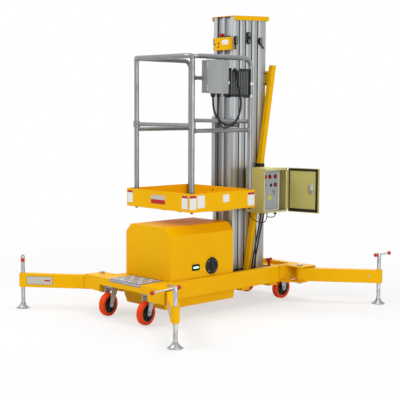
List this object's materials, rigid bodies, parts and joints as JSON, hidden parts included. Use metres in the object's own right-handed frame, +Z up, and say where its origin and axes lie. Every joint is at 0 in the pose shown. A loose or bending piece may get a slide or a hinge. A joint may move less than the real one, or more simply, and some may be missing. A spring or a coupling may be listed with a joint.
{
  "type": "push-around vertical mast lift",
  "caption": "Push-around vertical mast lift: nested aluminium mast, one-person guarded platform, swing-out outriggers with screw jacks and a caster chassis.",
  "frame": {"origin": "on the floor, midway between the four foot pads, under the middle of the object's box", "axes": "+X from the mast towards the platform, +Y to the machine's left, +Z up"},
  "size_m": [2.1526, 1.61, 1.974],
  "materials": {
    "yellow_paint": "gloss yellow powder coat",
    "mast_aluminium": "clear anodised extrusion",
    "zinc_steel": "bright zinc plate",
    "rail_steel": "satin tube",
    "checker_plate": "five bar tread plate",
    "orange_tyre": "polyurethane tread",
    "black_plastic": "moulded black",
    "cabinet_paint": "olive powder coat",
    "panel_grey": "grey enamel",
    "red_plastic": "moulded red",
    "box_steel": "brushed stainless sheet",
    "dark_housing": "dark finned housing",
    "cable_rubber": "black cable sheath",
    "pack_grey": "battery and pump block"
  },
  "bodies": {
    "chassis": {"side_rails": "yellow_paint", "front_deck": "yellow_paint", "mast_base": "yellow_paint", "outrigger_brackets": "yellow_paint", "pivot_pins": "yellow_paint", "step_plate": "checker_plate", "belly_tray": "yellow_paint", "power_pack": "pack_grey", "hood": "yellow_paint", "charge_inlet": "black_plastic", "battery_gauge": "black_plastic", "caster_plates": "zinc_steel", "rear_forks": "zinc_steel", "mast_1": "mast_aluminium", "mast_1_anchors": "black_plastic", "mast_braces": "yellow_paint", "cabinet": "cabinet_paint", "cabinet_panel": "panel_grey", "cabinet_controls": "red_plastic", "release_valve": "red_plastic", "cabinet_cable": "cable_rubber", "cabinet_cable_rear": "cable_rubber", "cabinet_loop": "cable_rubber"},
    "cabinet_door": {"cabinet_door": "cabinet_paint", "door_lock": "black_plastic"},
    "caster_front_left": {"fork_front_left": "zinc_steel"},
    "wheel_front_left": {"tyre_front_left": "orange_tyre", "hub_front_left": "black_plastic"},
    "caster_front_right": {"fork_front_right": "zinc_steel"},
    "wheel_front_right": {"tyre_front_right": "orange_tyre", "hub_front_right": "black_plastic"},
    "wheel_rear_left": {"tyre_rear_left": "orange_tyre", "hub_rear_left": "black_plastic"},
    "wheel_rear_right": {"tyre_rear_right": "orange_tyre", "hub_rear_right": "black_plastic"},
    "outrigger_front_left": {"arm_front_left": "yellow_paint"},
    "jack_front_left": {"jack_front_left": "zinc_steel"},
    "outrigger_front_right": {"arm_front_right": "yellow_paint"},
    "jack_front_right": {"jack_front_right": "zinc_steel"},
    "outrigger_rear_left": {"arm_rear_left": "yellow_paint"},
    "jack_rear_left": {"jack_rear_left": "zinc_steel"},
    "outrigger_rear_right": {"arm_rear_right": "yellow_paint"},
    "jack_rear_right": {"jack_rear_right": "zinc_steel"},
    "mast_2": {"mast_2": "mast_aluminium"},
    "mast_3": {"mast_3": "mast_aluminium", "mast_3_anchors": "black_plastic"},
    "mast_4": {"mast_4": "mast_aluminium"},
    "mast_5": {"mast_5": "mast_aluminium", "mast_5_anchors": "black_plastic", "mast_cap": "yellow_paint", "platform_tray": "yellow_paint", "platform_bracket": "yellow_paint", "guardrail": "rail_steel", "upper_control_box": "yellow_paint", "upper_stop_button": "red_plastic", "outlet_box": "box_steel", "finned_box": "dark_housing", "long_cable": "cable_rubber", "short_cable": "cable_rubber"},
    "gate_bar": {"gate_bar": "rail_steel"}
  },
  "joints": [
    {"name": "cabinet_door_hinge", "type": "hinge", "parent": "chassis", "child": "cabinet_door", "pos_m": [-0.5065, 0.3, 0.787], "axis": [0, 0, 1], "range_deg": [-102, 68]},
    {"name": "swivel_front_left", "type": "hinge", "parent": "chassis", "child": "caster_front_left", "pos_m": [0.645, 0.187, 0.18], "axis": [0, 0, 1], "continuous": true},
    {"name": "roll_front_left", "type": "hinge", "parent": "caster_front_left", "child": "wheel_front_left", "pos_m": [0.68217, 0.1949, 0.075], "axis": [-0.2079, 0.9781, 0], "continuous": true},
    {"name": "swivel_front_right", "type": "hinge", "parent": "chassis", "child": "caster_front_right", "pos_m": [0.645, -0.187, 0.18], "axis": [0, 0, 1], "continuous": true},
    {"name": "roll_front_right", "type": "hinge", "parent": "caster_front_right", "child": "wheel_front_right", "pos_m": [0.68217, -0.1791, 0.075], "axis": [-0.2079, 0.9781, 0], "continuous": true},
    {"name": "roll_rear_left", "type": "hinge", "parent": "chassis", "child": "wheel_rear_left", "pos_m": [-0.6, 0.17, 0.075], "axis": [0, 1, 0], "continuous": true},
    {"name": "roll_rear_right", "type": "hinge", "parent": "chassis", "child": "wheel_rear_right", "pos_m": [-0.6, -0.17, 0.075], "axis": [0, 1, 0], "continuous": true},
    {"name": "outrigger_front_left_fold", "type": "hinge", "parent": "chassis", "child": "outrigger_front_left", "pos_m": [0.61, 0.335, 0.19], "axis": [0, 0, 1], "range_deg": [0, 128]},
    {"name": "jack_front_left_lift", "type": "slide", "parent": "outrigger_front_left", "child": "jack_front_left", "axis": [0, 0, 1], "range_m": [-0.03, 0.1]},
    {"name": "outrigger_front_right_fold", "type": "hinge", "parent": "chassis", "child": "outrigger_front_right", "pos_m": [0.61, -0.335, 0.19], "axis": [0, 0, 1], "range_deg": [-128, 0]},
    {"name": "jack_front_right_lift", "type": "slide", "parent": "outrigger_front_right", "child": "jack_front_right", "axis": [0, 0, 1], "range_m": [-0.03, 0.1]},
    {"name": "outrigger_rear_left_fold", "type": "hinge", "parent": "chassis", "child": "outrigger_rear_left", "pos_m": [-0.61, 0.335, 0.19], "axis": [0, 0, 1], "range_deg": [-128, 0]},
    {"name": "jack_rear_left_lift", "type": "slide", "parent": "outrigger_rear_left", "child": "jack_rear_left", "axis": [0, 0, 1], "range_m": [-0.03, 0.1]},
    {"name": "outrigger_rear_right_fold", "type": "hinge", "parent": "chassis", "child": "outrigger_rear_right", "pos_m": [-0.61, -0.335, 0.19], "axis": [0, 0, 1], "range_deg": [0, 128]},
    {"name": "jack_rear_right_lift", "type": "slide", "parent": "outrigger_rear_right", "child": "jack_rear_right", "axis": [0, 0, 1], "range_m": [-0.03, 0.1]},
    {"name": "mast_2_lift", "type": "slide", "parent": "chassis", "child": "mast_2", "axis": [0, 0, 1], "range_m": [0, 1.3]},
    {"name": "mast_3_lift", "type": "slide", "parent": "mast_2", "child": "mast_3", "axis": [0, 0, 1], "range_m": [0, 1.3]},
    {"name": "mast_4_lift", "type": "slide", "parent": "mast_3", "child": "mast_4", "axis": [0, 0, 1], "range_m": [0, 1.3]},
    {"name": "mast_5_lift", "type": "slide", "parent": "mast_4", "child": "mast_5", "axis": [0, 0, 1], "range_m": [0, 1.3]},
    {"name": "gate_bar_slide", "type": "slide", "parent": "mast_5", "child": "gate_bar", "axis": [0, 0, 1], "range_m": [0, 0.25]}
  ],
  "couplings": [
    {"joint": "mast_3_lift", "follows": "mast_2_lift", "ratio": 1},
    {"joint": "mast_4_lift", "follows": "mast_2_lift", "ratio": 1},
    {"joint": "mast_5_lift", "follows": "mast_2_lift", "ratio": 1}
  ]
}
